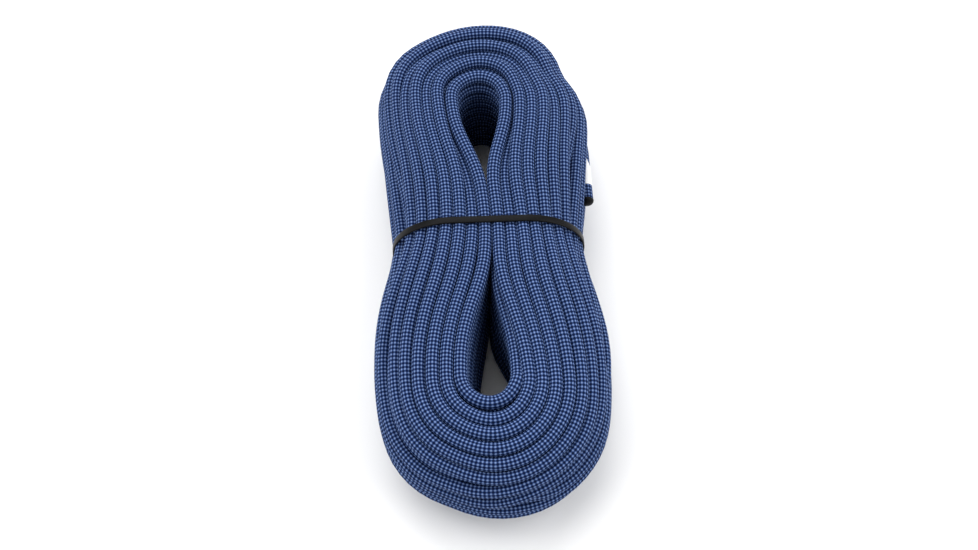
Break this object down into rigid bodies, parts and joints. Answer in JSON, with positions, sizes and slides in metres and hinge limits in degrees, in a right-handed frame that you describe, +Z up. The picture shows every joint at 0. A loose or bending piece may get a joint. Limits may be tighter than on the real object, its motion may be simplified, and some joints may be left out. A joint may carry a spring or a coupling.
{
  "type": "dynamic climbing rope",
  "caption": "Dynamic climbing rope in its factory hank: an oval lying coil pinched to a waist by a cable tie, with capped and labelled rope ends tucked along its side.",
  "frame": {"origin": "centre of the footprint, on the surface that the hank lies on", "axes": "+Y along the hank towards its far lobe, +X to its right, +Z up"},
  "size_m": [0.1738, 0.405, 0.099],
  "materials": {
    "rope_sheath": "woven",
    "rope_core": "woven",
    "end_cap": "satin",
    "end_label": "satin",
    "cable_tie": "satin"
  },
  "bodies": {
    "root": {"rope_hank": "rope_sheath", "outer_end_sheath": "rope_sheath", "outer_end_core_strand_01": "rope_core", "outer_end_core_strand_02": "rope_core", "outer_end_core_strand_03": "rope_core", "outer_end_core_strand_04": "rope_core", "outer_end_core_strand_05": "rope_core", "outer_end_core_strand_06": "rope_core", "outer_end_core_strand_07": "rope_core", "outer_end_core_strand_08": "rope_core", "outer_end_core_strand_09": "rope_core", "outer_end_core_strand_10": "rope_core", "outer_end_core_strand_11": "rope_core", "outer_end_core_strand_12": "rope_core", "outer_end_cap": "end_cap", "outer_end_label": "end_label", "inner_end_sheath": "rope_sheath", "inner_end_core_strand_01": "rope_core", "inner_end_core_strand_02": "rope_core", "inner_end_core_strand_03": "rope_core", "inner_end_core_strand_04": "rope_core", "inner_end_core_strand_05": "rope_core", "inner_end_core_strand_06": "rope_core", "inner_end_core_strand_07": "rope_core", "inner_end_core_strand_08": "rope_core", "inner_end_core_strand_09": "rope_core", "inner_end_core_strand_10": "rope_core", "inner_end_core_strand_11": "rope_core", "inner_end_core_strand_12": "rope_core", "inner_end_cap": "end_cap", "inner_end_label": "end_label", "cable_tie": "cable_tie"}
  },
  "joints": []
}
